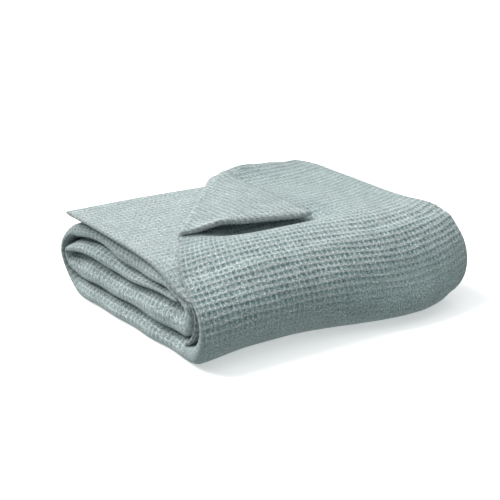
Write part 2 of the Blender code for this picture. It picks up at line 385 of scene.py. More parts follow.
def past_fold(across, length):
    """How far a point of the flat ply lies past the bowed line of the fold."""
    flat = np.stack([across, length], -1) - fold_side
    share = along_fold(across, length)
    bow = FOLD_BOW * 4 * share * (1 - share)
    past = flat @ to_corner + bow + FOLD_HOOK * ease(share, HOOK_FROM, 1)
    return np.where(length > roll.starts["top"], past, NOT_TURNED)


print("the fold is", round(float(fold_length)), "mm long")

# %% [markdown]
# ## Turning the corner over
# Points past the line are carried round half a turn of a small radius and then run back over the ply.
# The fold is pressed flatter near both its ends.  The flap lifts off beside it, most of all along its free
# edge, which is a thick rolled lip over a dark gap.  Towards the back edge, the ply puffs up and closes
# again, as doubled cloth does at its own fold.

# %% Turned corner
FOLD_RADIUS = 4.6
PRESSED_BACK = 0.13
PRESSED_FRONT = 0.25
PRESSED_FRONT_TO = 0.3  # share of the fold
FLAP_LIFT = 7.5
FLAP_SINK = 0.11
LIFT_START = 1
LIFT_REACH = 56
LIFT_ENDS = 0.45  # share of the fold from which the lift dies out
EDGE_LIFT = 14
EDGE_IN = 7
EDGE_WIDE = 24
EDGE_FULL = 0.5
BACK_PUFF = Rise(8.5, roll.end - 80, roll.end)
PUFF_START = 12
PUFF_CLOSES = Rise(0.85, roll.end - 8, roll.end)
FOLD_PUFF = Rise(5, roll.end - 60, roll.end)
FOLD_PUFF_AT = 26
FOLD_PUFF_WIDE = 22
CORNER_FLAT = Rise(0.4, 0.86, 1)
CORNER_FLAT_WIDE = 22


def back_puff(length, from_fold):
    """How much thicker the upper ply is near its back edge."""
    all_along = rises(length, BACK_PUFF) * ease(from_fold, 0, PUFF_START)
    beside_fold = rises(length, FOLD_PUFF) * hump(from_fold - FOLD_PUFF_AT, FOLD_PUFF_WIDE)
    return (all_along + beside_fold) * (1 - rises(length, PUFF_CLOSES))


def turn_corner(across, length, height):
    """Carries a point past the fold over onto the ply, and puffs up the cloth beside the back edge."""
    past, share = past_fold(across, length), along_fold(across, length)
    front_pressed = PRESSED_FRONT * (1 - ease(share, 0, PRESSED_FRONT_TO))
    radius = FOLD_RADIUS * (1 - PRESSED_BACK * ease(share, 0, 1) - front_pressed)
    angle = np.clip(past / radius, 0, np.pi)
    beyond = np.maximum(past - np.pi * radius, 0)
    near_edge = hump(across - roll_left(length) - EDGE_IN, EDGE_WIDE)
    fuller = 1 + EDGE_FULL * near_edge * ease(beyond, 0, EDGE_WIDE)
    offset = (height - UPPER_PLY / 2) * fuller
    reach = (radius - offset) * np.sin(angle) - beyond
    lift = (FLAP_LIFT + EDGE_LIFT * near_edge) * ease(beyond, LIFT_START, LIFT_REACH)
    lift = (lift - FLAP_SINK * beyond) * (1 - ease(share, LIFT_ENDS, 1))
    rise = radius * (1 - np.cos(angle)) + offset * np.cos(angle) + lift
    turned = past > 0
    back = np.where(turned, reach - past, 0)
    moved = across + back * to_corner[0], length + back * to_corner[1]
    over = UPPER_PLY / 2 + rise + back_puff(moved[1], beyond)
    over = over * (1 - rises(share, CORNER_FLAT) * hump(beyond, CORNER_FLAT_WIDE))
    flat = height * (1 + back_puff(length, -past) / UPPER_PLY)
    on_top = length > roll.starts["top"]
    return (*moved, np.where(turned, over, np.where(on_top, flat, height)))


corner_at = turn_corner(*corner, UPPER_PLY)
print("the corner moves", round(float(corner_at[0] - corner[0])), "mm right and lies", end=" ")
print(round(float(corner_at[2])), "mm up")

# %% [markdown]
# ## The soft shape
# So far every section along the roll is the same.  A soft field then moves all layers together, which keeps
# them apart: a full shoulder, a foot that bulges, a rounded right end, and low swells and creases on top.
# A lattice modifier could do this too, but a field written as sums says plainly what each swell is for.

# %% Creases and swells
Crease = namedtuple("Crease", "from_x from_y to_x to_y wide deep")
CREASES = [
    Crease(92, 150, 306, 137, 24, 15.5),  # the trough under the flap's lip
    Crease(300, 60, 420, 96, 24, 0.8),
    Crease(250, 260, 400, 230, 26, 1.2),
    Crease(20, 250, 130, 300, 24, 1.2),
    Crease(60, 190, 30, 120, 18, -1.0),
    Crease(280, 335, 360, 345, 34, -4.0),  # a swell at the back edge
]
FADES_IN = 0.3  # share of a crease in which it gets its full depth


def creases(across, front):
    """Soft troughs, and ridges where the depth is negative, each along its own short line."""
    total = 0
    for c in CREASES:
        way = np.array([c.to_x - c.from_x, c.to_y - c.from_y], float)
        long = np.linalg.norm(way)
        way /= long
        run = (across - c.from_x) * way[0] + (front - c.from_y) * way[1]
        off = (front - c.from_y) * way[0] - (across - c.from_x) * way[1]
        fade_in = ease(run, -c.wide, long * FADES_IN)
        fade_out = 1 - ease(run, long * (1 - FADES_IN), long + c.wide)
        total = total - c.deep * fade_in * fade_out * hump(off, c.wide)
    return total


print("depth in the middle of the trough:", round(float(-creases(199.0, 143.5)), 1), "mm")

# %% Soft shape
MIDDLE_X = 225.9
MIDDLE_Y = 178.1
SHOULDER = (Rise(15, 10, 130), Rise(2, 150, 380))
SHOULDER_AT = 45
SHOULDER_WIDE = 60
SWELL = 0.7
SWELL_ACROSS = 47
SWELL_FRONT = 61
LIFTED = Rise(1, 40, 110)  # the heights from which the top follows the shoulder and the creases
FOOT = 5  # how far the foot bulges at the left end
FOOT_ALONG = (Rise(-12, 0, 90), Rise(37, 140, 325))
FOOT_RECEDES = Rise(0.6, WIDTH - 120, WIDTH)
FOOT_UP = Rise(1, 15, 75)
FRONT_DEEP = Rise(1, 0, 120)  # how far back the foot's bulge reaches
CORNER_BACK = Rise(12, WIDTH - 60, WIDTH + 10)
TOP = 131
END_IN = Rise(38, WIDTH - 140, WIDTH)
END_MIDDLE = 100  # the height at which the right end stands out most
END_TOP = 0.7
END_FOOT = 1.2
END_CURVE = 1.6


def settle(across, front, up):
    """The final place of a point, in metres, with the origin under the middle of the bundle."""
    shoulder = rises(across, *SHOULDER) * hump(front - SHOULDER_AT, SHOULDER_WIDE)
    swell = SWELL * np.sin(across / SWELL_ACROSS + front / SWELL_FRONT) + creases(across, front)
    lifted = up + (shoulder + swell) * rises(up, LIFTED)
    bulge = (FOOT + rises(across, *FOOT_ALONG)) * (1 - rises(across, FOOT_RECEDES))
    foot = bulge * (1 - rises(up, FOOT_UP))
    front_out = (rises(across, CORNER_BACK) - foot) * (1 - rises(front, FRONT_DEEP))
    over = np.maximum(up - END_MIDDLE, 0) / (TOP - END_MIDDLE)
    under = np.maximum(1 - up / END_MIDDLE, 0)
    off_middle = END_TOP * over**END_CURVE + END_FOOT * under**END_CURVE
    end_in = off_middle * rises(across, END_IN)
    return np.stack([across - end_in - MIDDLE_X, front + front_out - MIDDLE_Y, lifted], -1) * MM


print("top of the shoulder:", [round(float(v), 3) for v in settle(230.0, 60.0, 110.0)], "m")

# %% [markdown]
# ## A strip is a flattened sleeve
# The cloth was folded lengthwise, so each layer of the roll is doubled cloth with a soft fold at both ends.
# Going round such a layer leads over its outer face, round the right fold, back under its inner face and
# round the left fold.  One number, s, counts the weave's cells on that way, and a length counts along the
# strip.  A function carries every pair of them to its place.

# %% Round the sleeve
CELLS = 57  # cells across one face of the strip
SIDE_CELLS = 5  # cells round the end of a thin ply
LAYER_CELLS = 8  # cells round the end of a thick layer
SIDE_POWER = 0.9


def ring_cells(side_cells):
    return 2 * CELLS + 2 * side_cells


def around(s, side_cells):
    """Where a place lies round the sleeve: across as 0 to 1 between the folds, how far out it lies in a
    fold, from -1 on the left to 1 on the right, and its lift, from -1 inside to 1 outside."""
    s = s % ring_cells(side_cells)
    right = (s - CELLS) / side_cells
    left = (s - 2 * CELLS - side_cells) / side_cells
    on_outer = s < CELLS
    in_right = ~on_outer & (right < 1)
    in_left = left >= 0
    on_inner = 1 - (s - CELLS - side_cells) / CELLS
    turn = np.where(in_right, np.pi / 2 - np.pi * right, -np.pi / 2 + np.pi * left)
    out = np.abs(np.cos(turn)) ** SIDE_POWER
    lift = squared_off(np.sin(turn), SIDE_POWER)
    share = np.select([on_outer, in_right, in_left], [s / CELLS, 1.0, 0.0], on_inner)
    out = np.select([in_right, in_left], [out, -out], 0.0)
    lift = np.select([on_outer, in_right | in_left], [1.0, lift], -1.0)
    return share, out, lift


def squared_off(part, power):
    """A coordinate of a round end, from -1 to 1, made squarer by a power below 1."""
    return np.sign(part) * np.abs(part) ** power


print("cells round a ply and round a layer:", ring_cells(SIDE_CELLS), ring_cells(LAYER_CELLS))

# %% [markdown]
# ## The ends of the layers
# Inside the roll a layer's end is thick and heavy.  It sags squarely over its lower edge, so its upper half
# recedes, and it is a little uneven all along.  The layer on top is pressed by the plies on it and recedes
# less.  On the front and the top there is a thin ply, with a plain round fold that gets deeper along the
# turned corner, where it is the flap's lip.

# %% Ends
SAG_SQUARE = 0.4
RECEDE = 11
RECEDE_CELLS = 5  # how far in from the end the upper face still recedes
TOP_KEEPS = 0.85
TOP_LAYER = (
    Rise(1, roll.starts["d"] - 30, roll.starts["d"] + 30),
    Rise(-1, roll.starts["a"] - 40, roll.starts["a"]),
)
INSIDE_ENDS = Rise(1, roll.starts["nose"] - 30, roll.starts["nose"] + 10)
UNEVEN_END = 2.5
UNEVEN_THICK = 0.14
THICK_AHEAD = 60  # so that thickness and end don't wave together
END_WAVES = (Wave(0.6, 37, 1), Wave(0.4, 14.3, 0))
LIP = Rise(4, roll.end - FOLD_SIDE, roll.end - FOLD_SIDE + 50)
EAR_LONG = 26
EAR_SQUARE = 0.45


def wavy(length):
    """A slow, uneven wave along the cloth, from about -1 to 1."""
    return waves(length, *END_WAVES)


def upward(strip, length, lift):
    """How far a place on a layer's end lies towards the layer's upper side, from -1 to 1."""
    inner, outer = strip.route.sides(length)
    return (outer[..., 1] - inner[..., 1]) / strip.route.thickness(length) * lift


def inside_roll(strip, length):
    """1 in the roll, and 0 on the front, the top and the lower ply."""
    return 1 - rises(length, INSIDE_ENDS) if strip is ROLL else np.zeros_like(length)


def end_shape(strip, length, share, out, lift):
    """Makes a layer's round end squarer: at the foot of the turned corner, and below in the roll."""
    if strip is ROLL:
        at_ear = hump(length - roll.end + FOLD_SIDE, EAR_LONG) * (share == 0)
        out, lift = (squared_off(part, 1 - EAR_SQUARE * at_ear) for part in (out, lift))
    below = inside_roll(strip, length) * (upward(strip, length, lift) < 0)
    return [squared_off(part, 1 - SAG_SQUARE * below) for part in (out, lift)]


def receding(strip, length, share, out, lift):
    """How far a layer's left end lies further in than its plain round shape."""
    recede = RECEDE * (1 - TOP_KEEPS * rises(length, *TOP_LAYER))
    recede = recede * np.maximum(upward(strip, length, lift), 0)
    recede = recede - UNEVEN_END * wavy(length) * np.abs(out)
    return inside_roll(strip, length) * recede * (1 - ease(share * CELLS, 0, RECEDE_CELLS))


print("a layer's end in the roll recedes by up to", RECEDE, "mm")

# %% From flat cloth to its place
SIDE_DEPTH = 14  # the deepest that a thick layer's fold reaches in
END_ROUND = 7
END_STARTS = 0.12
END_THIN = 0.25


def sleeve(strip, side_cells, s, length):
    """The folded place of each point of the flattened sleeve, in metres."""
    thick = strip.route.thickness(length)
    depth = np.minimum(thick / 2, SIDE_DEPTH)
    if strip is ROLL:
        depth = depth + rises(length, LIP)
    share, out, lift = around(s, side_cells)
    out, lift = end_shape(strip, length, share, out, lift)
    left, right = strip.left(length), strip.right(length)
    across = left + depth + (right - left - 2 * depth) * share + depth * out
    across = across + receding(strip, length, share, out, lift)
    from_end = np.minimum(length, strip.route.end - length) / END_ROUND
    from_end = np.clip(from_end, END_STARTS, 1)
    pinch = END_THIN + (1 - END_THIN) * np.sqrt(1 - (1 - from_end) ** 2)
    thinner = UNEVEN_THICK * inside_roll(strip, length) * (1 + wavy(length + THICK_AHEAD)) / 2
    height = thick * (0.5 + 0.5 * lift * pinch * (1 - thinner))
    if strip is ROLL:
        across, length, height = turn_corner(across, skewed(length, across), height)
    front, up = strip.route.point(length, height)
    return settle(across, front, up)


def sleeve_normals(strip, side_cells, s, length):
    """The way out of the cloth at each point, from two small steps along it."""
    step_s, step_length = 0.08, 0.8
    ds = sleeve(strip, side_cells, s + step_s, length)
    ds = ds - sleeve(strip, side_cells, s - step_s, length)
    ahead = np.minimum(length + step_length, strip.route.end)
    behind = np.maximum(length - step_length, 0)
    dl = sleeve(strip, side_cells, s, ahead) - sleeve(strip, side_cells, s, behind)
    normal = np.cross(ds, dl)
    return normal / np.maximum(np.linalg.norm(normal, axis=1, keepdims=True), 1e-12)


top_place = sleeve(ROLL, SIDE_CELLS, np.array([CELLS / 2]), np.array([roll.end - 150]))
print("one place on the top:", top_place[0].round(3))

# %% [markdown]
# ## The waffle weave
# Waffle cloth has square pits between raised ridges.  The ridges are long floats of yarn: the ones that
# run across the strip stand highest, and the ones along it dip where they pass under.  The floats across
# sag a little, so a pit is steep under one ridge and shelves up slowly to the next.  The weave could be
# painted as bump alone, but its pits are deep enough to cast shade and to notch the edges, so it is made
# in the surface here.  Each cell gets four steps each way, with its ridges exactly on the cell's edges.

# %% Height of the weave
CELL_STEPS = 4
PIT_DEPTH = 1.7
SLOPE = 3.8  # how fast the long slope above a sagging float falls
STEEP = 0.25
ACROSS_UNEVEN = 0.2
ALONG_SHARP = 3.0
ALONG_LOW = 0.45
ALONG_UNEVEN = 0.45
SHALLOW = 0.3  # how much shallower the shallowest pits are
PATCHES = 64
rng = np.random.default_rng(12)
IRREGULAR = rng.random((PATCHES, PATCHES))


def patchy(s, v):
    """Smooth noise that changes from cell to cell, from 0 to 1."""
    i, j = np.floor(s).astype(int), np.floor(v).astype(int)
    a, b = s - i, v - j
    near, near_up, far, far_up = (
        IRREGULAR[(i + di) % PATCHES, (j + dj) % PATCHES] for di in (0, 1) for dj in (0, 1)
    )
    return (near * (1 - b) + near_up * b) * (1 - a) + (far * (1 - b) + far_up * b) * a


def ridge(place, sharp):
    """1 on the line between two cells, falling to 0 in the middle of a cell."""
    return (1 - 2 * np.abs(place - np.round(place))) ** sharp


def sagging_ridge(place):
    """1 on the line between two cells, steep below the line and with a long slope above it."""
    part = place - np.floor(place)
    return np.maximum((1 - part) ** SLOPE, 1 - (1 - part) / STEEP)


def weave(s, v):
    """Height of the weave, from 0 in a pit to 1 on a ridge."""
    across = sagging_ridge(v) * (1 - ACROSS_UNEVEN + ACROSS_UNEVEN * patchy(s * 1.3, v * 0.9))
    along_high = ALONG_LOW + ALONG_UNEVEN * patchy(s * 0.8 + 9, v * 1.7)
    along_strip = ridge(s, ALONG_SHARP) * along_high
    cell = np.floor(s).astype(int) % PATCHES, np.floor(v).astype(int) % PATCHES
    filled = SHALLOW * IRREGULAR[cell]
    return 1 - (1 - across) * (1 - along_strip) * (1 - filled)


in_pit, on_ridge = weave(np.array([0.5, 0.5]), np.array([0.5, 0.0])).round(2)
print("height in a pit and on a ridge:", in_pit, on_ridge)

# %% [markdown]
# ## Making a sheet
# Each sheet starts as a flat grid with one face for each cell, which is extruded into a thin slab.  Only
# the cells that can be seen are then cut finer, because the inside of a folded bundle is hidden.
# The grid's columns run round the sleeve and start at the slit, where the cloth's two long edges meet.

# %% Flat slab
SLIT_AT = 0.86  # share across the strip's inner face
NEAR_FOLD = 4  # cells that stay one cell wide beside a fold


def stepped(step):
    """Columns one cell wide near both folds, and wider between them."""
    middle = np.arange(NEAR_FOLD, CELLS - NEAR_FOLD, step)
    return np.concatenate([np.arange(NEAR_FOLD), middle, np.arange(CELLS - NEAR_FOLD, CELLS + 1)])


def grid_columns(side_cells, outer_steps, inner_steps):
    """Places round the sleeve for the grid's columns, starting at the slit in its inner face."""
    outer, inner = (
        np.arange(CELLS + 1) if steps == 1 else stepped(steps) for steps in (outer_steps, inner_steps)
    )
    right = CELLS + np.arange(side_cells)
    left = right + CELLS + side_cells
    total = ring_cells(side_cells)
    ring = np.unique(np.concatenate([outer, right, CELLS + side_cells + inner, left]))
    slit = CELLS + side_cells + round((1 - SLIT_AT) * CELLS)
    ring = np.unique(np.append(ring[ring < total], slit))
    return np.concatenate([ring[ring >= slit] - total, ring[ring <= slit]]).astype(float)


def flat_slab(columns, rows, fine):
    """A thin flat slab of cells.  The cells that fine() picks are cut into steps on their outer side."""
    bm = bmesh.new()
    across, long = len(columns) - 1, len(rows) - 1
    bmesh.ops.create_grid(bm, x_segments=across, y_segments=long, size=0.5)
    for vert in bm.verts:
        column, row = round((vert.co.x + 0.5) * across), round((vert.co.y + 0.5) * long)
        vert.co = (columns[column], rows[row], 0)
    raised = bmesh.ops.extrude_face_region(bm, geom=list(bm.faces))["geom"]
    for item in raised:
        if isinstance(item, bmesh.types.BMVert):
            item.co.z = 1
    faces = [(face, face.calc_center_median()) for face in bm.faces]
    outer = [(face, at) for face, at in faces if face.normal.z**2 > 0.5 and at.z > 0.5]
    picked = fine(*np.array([at[:2] for _, at in outer]).T)
    edges = {edge: None for (face, _), pick in zip(outer, picked) if pick for edge in face.edges}
    bmesh.ops.subdivide_edges(bm, edges=list(edges), cuts=CELL_STEPS - 1, use_grid_fill=True)
    return bm


print("columns round a ply that shows everywhere:", len(grid_columns(SIDE_CELLS, 1, 1)))

# %% [markdown]
# ## Tone
# How light each point is goes into an attribute, so that the material can colour by it.  It holds the
# weave's height, which the material turns into painted shade in the pits and a painted highlight on the
# ridges, where handled cotton also gets a pale bloom, and it adds how much lighter some parts are coloured.
# Where the weave is pressed flat, that value comes near its middle, because shallow pits take little shade.

# %% Cloth map
EVEN = 0.48  # the value where the weave is pressed flat
# Painted light on the top ply's left edge and the turned corner's lip, which faces away from the lamp.
LIP_PAINTED_LIGHT = 0.35  # on the turned corner's edge
# The flap and the whole lower ply are coloured a little lighter.
FLAP_LIGHTER = 0.07  # on the rest of the flap
FLAP_LIGHTER_TO = 12
LOWER_LIGHTER = 0.1
LIP_LIGHT_FROM = 60


def coloured(strip, side_cells, s, length):
    """How much lighter the cloth is coloured: painted light along the top ply's left edge and the turned
    corner's lip, a little on the flap, and all over the lower ply.
    """
    if strip is LOWER:
        return LOWER_LIGHTER
    share, out, _ = around(s, side_cells)
    across = roll_left(length) + (roll_right(length) - roll_left(length)) * share
    edge = LIP_PAINTED_LIGHT * np.maximum(-out, 0) * (length > roll.starts["top"] + LIP_LIGHT_FROM)
    return edge + FLAP_LIGHTER * ease(past_fold(across, skewed(length, across)), 0, FLAP_LIGHTER_TO)


def add_cloth_map(mesh, s, v, tone):
    """The cloth's own map, in cells, and how light each point is."""
    corners = np.empty(len(mesh.loops), np.int32)
    mesh.loops.foreach_get("vertex_index", corners)
    places = np.stack([s[corners], v[corners]], 1).astype(np.float32)
    cloth_map = mesh.uv_layers.new(name="cloth")
    cloth_map.data.foreach_set("uv", places.ravel())
    ridges = mesh.attributes.new("ridge", "FLOAT", "POINT")
    ridges.data.foreach_set("value", tone.astype(np.float32))


# How much painted light the flap's lip gets.
on_lip = coloured(ROLL, SIDE_CELLS, np.array([-SIDE_CELLS / 2]), np.array([roll.end - FOLD_SIDE / 2]))
print("the flap's lip is worn lighter by", round(float(on_lip[0]), 2))

# %% [markdown]
# ## Carrying a sheet to its place
# Every point of the slab is carried to its folded place.  Its outer side is then lowered into the pits, and
# its inner side by the thickness of the cloth.  The rows wander a little, as the rows of washed cloth do.

# %% Sheet
CLOTH = 3.0
THIN_GAP = 0.2  # left between the two thicknesses of a thin ply
WOBBLE = 0.4


def make_sheet(name, strip, side_cells, columns, rows, table, fine, pit_depth):
    """A sheet of the blanket's cloth, carried to its place."""
    bm = flat_slab(columns, rows, fine)
    s, v, outside = np.array([vert.co for vert in bm.verts]).T
    length = row_length(table, v, around(s, side_cells)[0])
    inner_end = (length < 1) | (length > strip.route.end - 1)
    wander = WOBBLE * (np.sin(s / 4.7 + 0.41 * v) + np.sin(s / 2.1 + 1.3 * v)) * ~inner_end
    moved = np.clip(length + wander * outside, 0, strip.route.end)
    height = weave(s, v)
    deep = pit_depth(s, moved)
    thick = np.minimum(CLOTH, strip.route.thickness(moved) / 2 - THIN_GAP)
    sink = np.where(outside > 0.5, deep * (1 - height), thick)
    place = sleeve(strip, side_cells, s, moved)
    place = place - sleeve_normals(strip, side_cells, s, moved) * (sink * MM)[:, None]
    for vert, co in zip(bm.verts, place):
        vert.co = co
    bmesh.ops.recalc_face_normals(bm, faces=list(bm.faces))
    mesh = bpy.data.meshes.new(name)
    bm.to_mesh(mesh)
    bm.free()
    mesh.shade_smooth()
    # The tone is the weave's height, scaled by how deep the pits are: the material paints shade into deep
    # pits and a highlight on their ridges.
    tone = EVEN + (height - EVEN) * np.minimum(1, deep / PIT_DEPTH)
    add_cloth_map(mesh, s, v, tone + coloured(strip, side_cells, s, length))
    sheet = bpy.data.objects.new(name, mesh)
    bpy.context.scene.collection.objects.link(sheet)
    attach(sheet, "root")
    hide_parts("folded_blanket")
    triangles = sum(len(face.vertices) - 2 for face in mesh.polygons)
    print(name, len(mesh.vertices), "points,", triangles, "triangles")
    return sheet


print("cloth", CLOTH, "mm thick, with pits", PIT_DEPTH, "mm deep")

# %% [markdown]
# ## The rows of cells
# The cells run on without a break along the whole strip.  In the roll they are counted along the middle of
# the layer.  From the front's foot on they are counted along its outer side, where they show, after the
# soft shape has stretched it.  The shape stretches some places more than others, so the rows are counted
# at several places across the strip, and each place gets the same number of them.

# %% Rows
CELL_ALONG = 9.5
FRONT_CELL = 9.2
FRONT_ROWS = 20  # rows that keep their size, up the front
FINE = 600
SHARES = np.linspace(0, 1, 13)  # places across the strip


def settled_way(share, lengths):
    """The way along the outer face, seen from the bundle's end, at a share across the strip."""
    front, up = roll.point(lengths, roll.thickness(lengths))
    places = settle(np.full_like(lengths, share * WIDTH), front, up)[:, 1:] / MM
    return np.concatenate([[0], np.cumsum(np.linalg.norm(np.diff(places, axis=0), axis=1))])


def count_rows():
    """The length of cloth at each row's start, for each share across the strip, and the first row of
    the front.  What is left over past the front's rows is shared out over the top."""
    foot = roll.starts["nose"]
    inside = np.linspace(0, foot, round(foot / CELL_ALONG) + 1)
    lengths = np.linspace(foot, roll.end, FINE)
    ways = [settled_way(share, lengths) for share in SHARES]
    front_way = FRONT_ROWS * FRONT_CELL
    top_rows = round((np.mean([way[-1] for way in ways]) - front_way) / FRONT_CELL)
    up_front = np.arange(FRONT_ROWS) * FRONT_CELL
    table = []
    for way in ways:
        steps = np.concatenate([up_front, np.linspace(front_way, way[-1], top_rows + 1)])
        table.append(np.concatenate([inside[:-1], np.interp(steps, way, lengths)]))
    return np.array(table), len(inside) - 1


def row_length(table, v, share):
    """The length of cloth at v rows, at a share across the strip."""
    column = np.clip(share, 0, 1) * (len(table) - 1)
    left = np.minimum(np.floor(column).astype(int), len(table) - 2)
    row = np.minimum(np.floor(v).astype(int), table.shape[1] - 2)
    a, b = column - left, v - row
    near = table[left, row] * (1 - b) + table[left, row + 1] * b
    far = table[left + 1, row] * (1 - b) + table[left + 1, row + 1] * b
    return near * (1 - a) + far * a


roll_table, foot_row = count_rows()
roll_rows = roll_table.mean(0)
hang = lower.starts["hang"]
lower_rows = np.linspace(hang, lower.end, round((lower.end - hang) / CELL_ALONG) + 1)
lower_table = np.array([lower_rows, lower_rows])
print("rows of cells:", len(roll_rows) - 1, "in the roll, the front starts at", foot_row)

# %% [markdown]
# ## The rolled layers
# The layers inside the roll show only at its two ends, so only their folds get the fine weave.  There each
# layer sags over its lower edge, which stretches the weave flat below and leaves it deep above.  The deep
# pits also carry the weave's painted shade, so the upper half of each end, under the layer above, gets more
# painted shade in its pits.

# %% Rolled layers
LAYER_DEEP = 0.5
# Deeper pits on the upper half of each end carry more of the weave's painted shade, under the layer above.
LAYER_SAG_AND_SHADE = 0.45
BESIDE_FOLD = 2  # cells of each face that show beside a fold
BACK_FROM = 45  # the back's sheet starts this far before the back wall
back_row = int(np.searchsorted(roll_rows, roll.starts["wall"] - BACK_FROM))


def layer_depth(s, length):
    return PIT_DEPTH * (LAYER_DEEP + LAYER_SAG_AND_SHADE * upward(ROLL, length, around(s, LAYER_CELLS)[2]))


def at_sides(s, v):
    """The folds at both ends of the roll, and a little of each face beside them."""
    ring = ring_cells(LAYER_CELLS)
    s = s % ring
    at_right = (s > CELLS - BESIDE_FOLD) & (s < CELLS + LAYER_CELLS + 1)
    return at_right | (s > ring - LAYER_CELLS - 1) | (s < BESIDE_FOLD)


inner_layers = make_sheet(
    "inner_layers",
    ROLL,
    LAYER_CELLS,
    grid_columns(LAYER_CELLS, 7, 7),
    np.arange(back_row + 1),
    roll_table,
    at_sides,
    layer_depth,
)

# %% [markdown]
# ## The back and the bottom
# The same strip runs on down the back wall, which is seen from behind and so gets its weave all over its
# outer face.  The bottom lies on the floor, where only its two ends show.

# %% Back and bottom
wall_rows = np.searchsorted(roll_rows, roll.starts["a"]) + 2


def back_and_sides(s, v):
    on_wall = (v < wall_rows) & (s % ring_cells(LAYER_CELLS) < CELLS)
    return on_wall | at_sides(s, v)


back_and_bottom = make_sheet(
    "back_and_bottom",
    ROLL,
    LAYER_CELLS,
    grid_columns(LAYER_CELLS, 1, 7),
    np.arange(back_row, foot_row + 1),
    roll_table,
    back_and_sides,
    layer_depth,
)

# %% [markdown]
# ## The front and the top
# This is the face of the bundle.  The weave is pressed flatter at the foot, where the bundle's weight lies,
# on the top, and round the side folds.  Along the flap's lip it is drawn deep, like the turns of a rope.
# Under the ply, only the cells that the turned corner brings up are cut fine.

# %% Front and top
FOOT_FLAT = 0.85
FOOT_FLAT_FROM = (42, 14)  # mm up the front, and how much more at the right
FOOT_FLAT_TO = (90, 40)
TOP_FLAT = Rise(0.45, roll.starts["top"] + 20, roll.starts["top"] + 90)
FOLD_KEEPS = 0.45
FOLD_AT = 2.5  # cells from where the face ends
FOLD_REACH = 4
LIP_WEAVE = 1.3
LIP_AT = 3.5
LIP_CELLS = 4.5
BEFORE_FOLD = 12


def shown_front(s, v):
    """All of the outer face and the side folds, and under the ply its turned corner."""
    ring = ring_cells(SIDE_CELLS)
    s = s % ring
    length = np.interp(v, np.arange(len(roll_rows)), roll_rows)
    inner = (s > CELLS + SIDE_CELLS) & (s < ring - SIDE_CELLS)
    share = np.where(inner, 1 - (s - CELLS - SIDE_CELLS) / CELLS, 0)
    across = roll_left(length) + (roll_right(length) - roll_left(length)) * share
    return ~inner | (past_fold(across, skewed(length, across)) > -BEFORE_FOLD)


def front_depth(s, length):
    ring = ring_cells(SIDE_CELLS)
    to_right = np.clip(s, 0, CELLS) / CELLS
    flat_from, flat_to = (at + more * to_right for at, more in (FOOT_FLAT_FROM, FOOT_FLAT_TO))
    foot = 1 - ease(length - roll.starts["nose"], flat_from, flat_to)
    pressed = 1 - FOOT_FLAT * foot - rises(length, TOP_FLAT)
    from_right = np.abs(s % ring - CELLS - FOLD_AT)
    from_left = np.abs(s % ring - ring + FOLD_AT)
    off_fold = np.minimum(1, np.minimum(from_right, from_left) / FOLD_REACH)
    at_lip = np.clip(1 - np.abs(s % ring - ring + LIP_AT) / LIP_CELLS, 0, 1)
    at_lip = at_lip * rises(length, LIP) / LIP.much
    return PIT_DEPTH * (pressed * (FOLD_KEEPS + (1 - FOLD_KEEPS) * off_fold) + LIP_WEAVE * at_lip)


front_and_top = make_sheet(
    "front_and_top",
    ROLL,
    SIDE_CELLS,
    grid_columns(SIDE_CELLS, 1, 1),
    np.arange(foot_row, len(roll_rows)),
    roll_table,
    shown_front,
    front_depth,
)

# %% [markdown]
# ## The lower ply
# The turned corner bares a triangle of the ply below it, whose front edge hangs behind the upper ply's.  It
# was pressed flat while it lay covered, so its pits are half as deep on top.

# %% Lower ply
LOWER_FLAT = Rise(0.5, lower.starts["top"] - 40, lower.starts["top"] + 30)
BARE_FROM = 60
BARE_FRONT = 85  # how wide the bared part is at the front
BARE_BACK = 230  # and how much wider at the back


def shown_lower(s, v):
    """The part of the lower ply that the turned corner bares, and its left fold."""
    ring = ring_cells(SIDE_CELLS)
    s = s % ring
    length = np.interp(v, np.arange(len(lower_rows)), lower_rows)
    back = ease(length, lower.starts["top"] + BARE_FROM, lower.end)
    bare = (s < CELLS) & (s / CELLS * WIDTH < BARE_FRONT + BARE_BACK * back)
    return bare | (s > ring - SIDE_CELLS - 1)


def lower_depth(s, length):
    return PIT_DEPTH * (1 - rises(length, LOWER_FLAT))


lower_ply = make_sheet(
    "lower_ply",
    LOWER,
    SIDE_CELLS,
    grid_columns(SIDE_CELLS, 1, 7),
    np.arange(len(lower_rows)),
    lower_table,
    shown_lower,
    lower_depth,
)

# %% [markdown]


# %% [markdown]
# ## The cotton
# Washed cotton is matt, with a faint bloom of loose fibres that catches light at a grazing angle.  The
# ridges are coloured lighter, as wear and as a painted highlight, and the pits darker than the dye, as
# painted shade.  Yarns and fibres are too fine for the mesh, so they are noise that follows the cloth's own
# map: three sizes of it fade the dye, and one is bump.

# %% Dye, painted shade and painted highlight
# The pits' colour is painted shade, darker than the dye. The ridges' colour is partly wear and partly a
# painted highlight.
PIT_SHADE = (0.165, 0.246, 0.241, 1)
DYE = (0.286, 0.373, 0.368, 1)
WORN_AND_LIT = (0.5, 0.545, 0.543, 1)
PIT_SHADE_AT = 0.12
DYE_AT = 0.42
WORN_AND_LIT_AT = 0.8
Fade = namedtuple("Fade", "scale darkest lightest")
FADES = [
    Fade(0.35, 0.93, 1.06),  # from one part of the cloth to another
    Fade(2.7, 0.78, 1.24),  # from yarn to yarn
    Fade(5.2, 0.5, 1.48),  # from fibre to fibre
]
NOISE_LOW = 0.37  # most of the noise lies between these two values
NOISE_HIGH = 0.63


